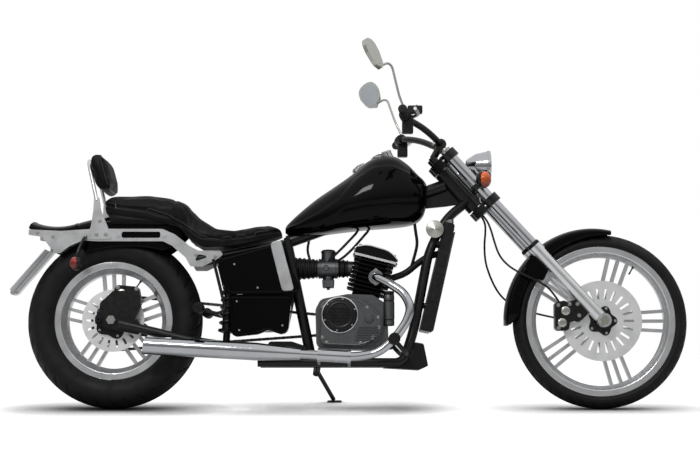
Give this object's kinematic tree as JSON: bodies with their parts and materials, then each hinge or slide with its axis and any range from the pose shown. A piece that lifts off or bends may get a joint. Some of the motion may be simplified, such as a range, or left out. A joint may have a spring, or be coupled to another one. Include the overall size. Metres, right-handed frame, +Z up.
{
  "type": "motorcycle",
  "caption": "Long-fork cruiser motorcycle leaning on its side stand, with cast wheels, upright-cylinder engine, low seat, padded backrest, turning wheels and steering.",
  "frame": {"origin": "on the ground under the middle of the whole leaning machine, cords left out", "axes": "+X forward along the machine, +Y to the left of the rider, +Z up from the ground"},
  "size_m": [2.6314, 0.8908, 1.4038],
  "materials": {
    "gloss_black": "gloss",
    "frame_black": "satin",
    "engine_black": "satin",
    "chrome": "polished",
    "polished_alloy": "polished",
    "cast_alloy": "satin",
    "brake_steel": "brushed",
    "chain_steel": "oiled",
    "tyre": "matte",
    "rubber": "matte",
    "seat_cover": "grained",
    "black_plastic": "matte",
    "clear_lens": "clear",
    "red_lens": "gloss",
    "amber_lens": "gloss"
  },
  "bodies": {
    "chassis": {"frame_backbone": "frame_black", "frame_down_tubes": "frame_black", "frame_lower_rails": "frame_black", "frame_seat_posts": "frame_black", "swingarm": "frame_black", "shock_absorber": "frame_black", "rear_axle": "chrome", "rear_fender": "gloss_black", "fender_rails": "chrome", "backrest_frame": "chrome", "backrest_pad": "seat_cover", "seat": "seat_cover", "rear_lamps": "red_lens", "number_plate_bracket": "cast_alloy", "crankcase": "cast_alloy", "engine_covers": "engine_black", "cylinder": "engine_black", "rocker_cover": "engine_black", "carburettor": "cast_alloy", "radiator": "engine_black", "chin_guard": "black_plastic", "horn": "chrome", "coolant_hoses": "rubber", "fuel_tank": "gloss_black", "speedometer": "chrome", "side_covers": "gloss_black", "battery_box": "black_plastic", "exhaust_header": "chrome", "muffler": "chrome", "heat_shield": "chrome", "tank_hoses": "rubber", "footpegs": "frame_black", "drive_chain": "chain_steel", "rear_caliper": "engine_black"},
    "steering": {"fork_clamps": "engine_black", "fork_tubes": "chrome", "fork_sliders": "polished_alloy", "front_axle": "chrome", "front_fender": "gloss_black", "front_caliper": "cast_alloy", "headlight": "chrome", "headlight_lens": "clear_lens", "front_signals": "amber_lens", "handlebar": "chrome", "grips": "rubber", "hand_controls": "engine_black", "levers": "polished_alloy", "mirrors": "frame_black", "brake_hose": "rubber", "speedometer_cable": "rubber"},
    "front_wheel": {"front_tyre": "tyre", "front_wheel_casting": "polished_alloy", "front_disc": "brake_steel"},
    "rear_wheel": {"rear_tyre": "tyre", "rear_wheel_casting": "polished_alloy", "rear_disc": "brake_steel", "rear_sprocket": "chain_steel"},
    "side_stand": {"side_stand": "frame_black"}
  },
  "joints": [
    {"name": "steering", "type": "hinge", "parent": "chassis", "child": "steering", "pos_m": [0.43001, -0.03942, 0.85058], "axis": [-0.6756, 0.0707, 0.7339], "range_deg": [-30, 30]},
    {"name": "front_wheel", "type": "hinge", "parent": "steering", "child": "front_wheel", "pos_m": [0.97725, -0.08886, 0.33715], "axis": [0, 0.9954, -0.0958], "continuous": true},
    {"name": "rear_wheel", "type": "hinge", "parent": "chassis", "child": "rear_wheel", "pos_m": [-0.90775, -0.08879, 0.33792], "axis": [0, 0.9954, -0.0958], "continuous": true},
    {"name": "side_stand", "type": "hinge", "parent": "chassis", "child": "side_stand", "pos_m": [-0.12675, 0.02065, 0.13903], "axis": [0.0898, 0.7456, 0.6603], "range_deg": [0, 98]}
  ]
}
